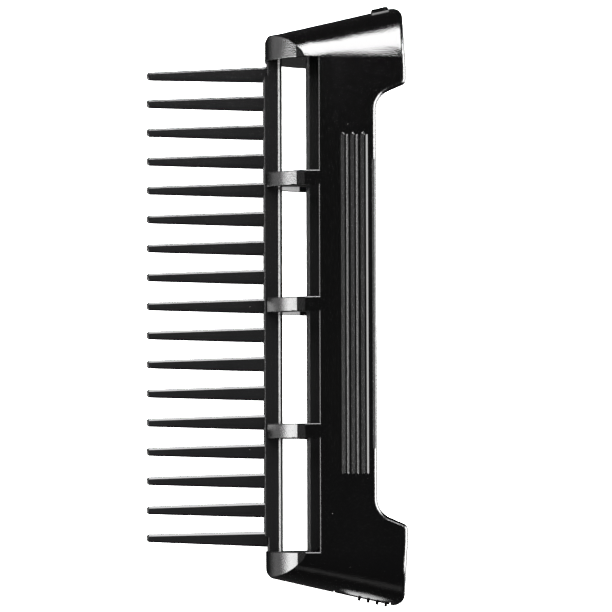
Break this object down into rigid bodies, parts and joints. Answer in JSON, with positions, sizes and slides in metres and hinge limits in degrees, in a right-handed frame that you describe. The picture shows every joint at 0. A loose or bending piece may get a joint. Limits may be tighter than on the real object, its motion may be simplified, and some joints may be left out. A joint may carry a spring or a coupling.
{
  "type": "comb attachment for a hot-air styler",
  "caption": "Clip-on wide-tooth comb nose for a hot-air styler: hollow flared housing, slanted air windows with straps, tapered teeth, ribbed release tab.",
  "frame": {"origin": "centre of the whole piece, on the parting plane of the two housing halves", "axes": "+X from the tooth tips to the open socket mouth, +Y along the row of teeth from the release tab to the fixed catch, +Z out of the front housing half"},
  "size_m": [0.058, 0.1341, 0.0208],
  "materials": {
    "housing": "fine-grained satin gloss black",
    "comb": "matte dark grey-black"
  },
  "bodies": {
    "housing": {"front_shell": "housing", "rear_shell": "housing", "comb_spine": "comb", "inner_rail": "comb", "cross_link_1": "comb", "cross_link_2": "comb", "cross_link_3": "comb", "tooth_01": "comb", "tooth_02": "comb", "tooth_03": "comb", "tooth_04": "comb", "tooth_05": "comb", "tooth_06": "comb", "tooth_07": "comb", "tooth_08": "comb", "tooth_09": "comb", "tooth_10": "comb", "tooth_11": "comb", "tooth_12": "comb", "tooth_13": "comb", "tooth_14": "comb", "tooth_15": "comb", "tooth_16": "comb", "tooth_17": "comb"},
    "release_tab": {"release_tab": "housing"}
  },
  "joints": [
    {"name": "tab_press", "type": "hinge", "parent": "housing", "child": "release_tab", "pos_m": [0.01274, -0.06277, 0], "axis": [0, 0, 1], "range_deg": [0, 5], "stiffness_Nm_per_rad": 0.05}
  ]
}
